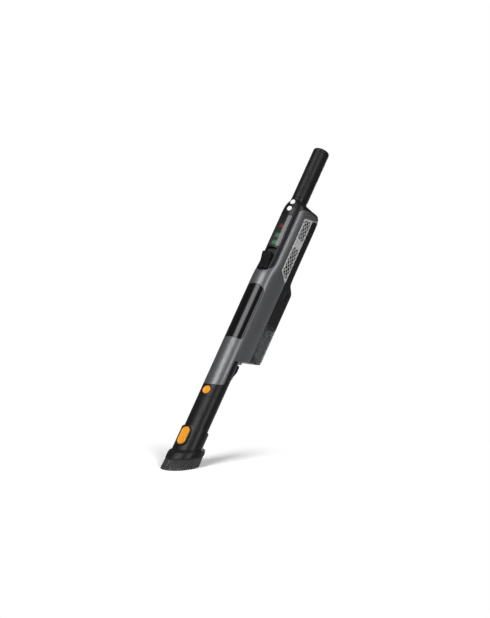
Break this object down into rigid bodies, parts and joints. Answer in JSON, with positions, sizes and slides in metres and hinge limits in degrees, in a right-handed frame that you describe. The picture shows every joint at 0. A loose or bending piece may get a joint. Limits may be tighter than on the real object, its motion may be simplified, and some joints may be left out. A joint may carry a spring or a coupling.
{
  "type": "handheld vacuum",
  "caption": "Slim cordless hand-held vacuum with a straight grip, slide-off dust bin, crevice nozzle and sliding bristle brush.",
  "frame": {"origin": "middle of the bounding box in X and Y, at the height of the lowest bristle tips", "axes": "+Z along the straight tube towards the handle, -Y the front with display and buttons, +Y the side with the dust bin, +X to the right seen from the front"},
  "size_m": [0.0638, 0.089, 0.691],
  "materials": {
    "black_plastic": "satin moulded black plastic",
    "grip_plastic": "satin black plastic with a fine grain",
    "gloss_black": "high gloss piano black",
    "grey_shell": "satin gunmetal grey, metallic paint",
    "silver_grille": "satin silver paint on plastic",
    "smoke_lens": "smoked glossy lens",
    "clear_plastic": "clear glossy plastic, slightly smoked",
    "orange_plastic": "satin orange plastic",
    "white_plastic": "satin white plastic",
    "bristle": "dark nylon bristles with pale tips",
    "rubber": "matt black rubber",
    "foam": "open-cell foam",
    "filter_paper": "pleated filter fleece",
    "steel": "zinc plated steel",
    "copper": "wound copper and laminated iron",
    "circuit_board": "green solder mask",
    "cell_wrap": "blue shrink wrap on a steel can",
    "led_red": "lit red lamp",
    "led_green": "lit green lamp"
  },
  "bodies": {
    "housing": {"grip_tube": "grip_plastic", "grip_end_cap": "grip_plastic", "battery_cell_lower": "cell_wrap", "battery_cell_upper": "cell_wrap", "cell_holder": "black_plastic", "front_panel": "black_plastic", "display_lens": "smoke_lens", "display_board": "circuit_board", "status_led_red": "led_red", "charge_led_upper": "led_green", "charge_led_lower": "led_green", "button_board": "circuit_board", "slider_tray": "black_plastic", "front_shell": "grey_shell", "badge_plate": "gloss_black", "grille_right": "silver_grille", "grille_left": "silver_grille", "exhaust_foam_right": "foam", "exhaust_foam_left": "foam", "rear_cover": "black_plastic", "cover_screw_1": "steel", "cover_screw_2": "steel", "charge_socket": "black_plastic", "neck_rear": "black_plastic", "inlet_duct": "black_plastic", "motor_can": "steel", "motor_magnet": "black_plastic", "motor_mount_ring": "rubber", "bearing_upper": "steel", "bearing_lower": "steel", "fan_bulkhead": "black_plastic", "motor_bulkhead": "black_plastic", "control_board": "circuit_board", "lever_pin": "steel"},
    "power_button_body": {"power_button": "white_plastic"},
    "mode_button_body": {"mode_button": "white_plastic"},
    "slider": {"release_slider": "black_plastic", "latch_fork": "black_plastic", "slider_spring": "steel"},
    "fan": {"motor_shaft": "steel", "motor_rotor": "copper", "impeller": "black_plastic"},
    "bin": {"bin_head": "black_plastic", "dust_cup": "clear_plastic", "filter_frame": "rubber", "pleated_filter": "filter_paper", "mesh_prefilter": "steel", "dust_deflector": "black_plastic", "door_hinge_pin": "steel"},
    "door": {"bin_door": "clear_plastic"},
    "flap": {"inlet_flap": "rubber"},
    "lever": {"door_lever": "black_plastic"},
    "nozzle": {"nozzle_body": "black_plastic", "nozzle_spigot": "black_plastic"},
    "nozzle_button_body": {"nozzle_button": "orange_plastic"},
    "brush": {"brush_sleeve": "black_plastic", "brush_skirt": "black_plastic", "bristles_outer": "bristle", "bristles_inner": "bristle"},
    "brush_button_body": {"brush_button": "orange_plastic"}
  },
  "joints": [
    {"name": "power_press", "type": "slide", "parent": "housing", "child": "power_button_body", "axis": [0, 1, 0], "range_m": [0, 0.0012], "stiffness_N_per_m": 400, "springref_m": -0.0012},
    {"name": "mode_press", "type": "slide", "parent": "housing", "child": "mode_button_body", "axis": [0, 1, 0], "range_m": [0, 0.0012], "stiffness_N_per_m": 400, "springref_m": -0.0012},
    {"name": "slider_travel", "type": "slide", "parent": "housing", "child": "slider", "axis": [0, 0, 1], "range_m": [0, 0.01], "stiffness_N_per_m": 250, "springref_m": -0.004, "deforming": ["slider_spring"]},
    {"name": "fan_spin", "type": "hinge", "parent": "housing", "child": "fan", "pos_m": [0, -0.0005, 0.45], "axis": [0, 0, 1], "continuous": true},
    {"name": "bin_slide", "type": "slide", "parent": "housing", "child": "bin", "axis": [0, 1, 0], "range_m": [0, 0.06]},
    {"name": "door_swing", "type": "hinge", "parent": "bin", "child": "door", "pos_m": [0, 0.042, 0.2712], "axis": [1, 0, 0], "range_deg": [0, 95]},
    {"name": "flap_swing", "type": "hinge", "parent": "bin", "child": "flap", "pos_m": [0, 0.0142, 0.302], "axis": [1, 0, 0], "range_deg": [0, 55], "stiffness_Nm_per_rad": 0.002, "springref_deg": -5.73},
    {"name": "lever_press", "type": "hinge", "parent": "housing", "child": "lever", "pos_m": [0, 0.0055, 0.219], "axis": [1, 0, 0], "range_deg": [0, 8], "stiffness_Nm_per_rad": 0.08, "springref_deg": -11.46},
    {"name": "nozzle_pull", "type": "slide", "parent": "housing", "child": "nozzle", "axis": [0, 0, -1], "range_m": [0, 0.05]},
    {"name": "nozzle_button_press", "type": "slide", "parent": "nozzle", "child": "nozzle_button_body", "axis": [0, 1, 0], "range_m": [0, 0.002], "stiffness_N_per_m": 500, "springref_m": -0.0015},
    {"name": "brush_slide", "type": "slide", "parent": "nozzle", "child": "brush", "axis": [0, 0, 1], "range_m": [0, 0.04]},
    {"name": "brush_button_press", "type": "slide", "parent": "brush", "child": "brush_button_body", "axis": [0, 1, 0], "range_m": [0, 0.0013], "stiffness_N_per_m": 500, "springref_m": -0.0015}
  ]
}
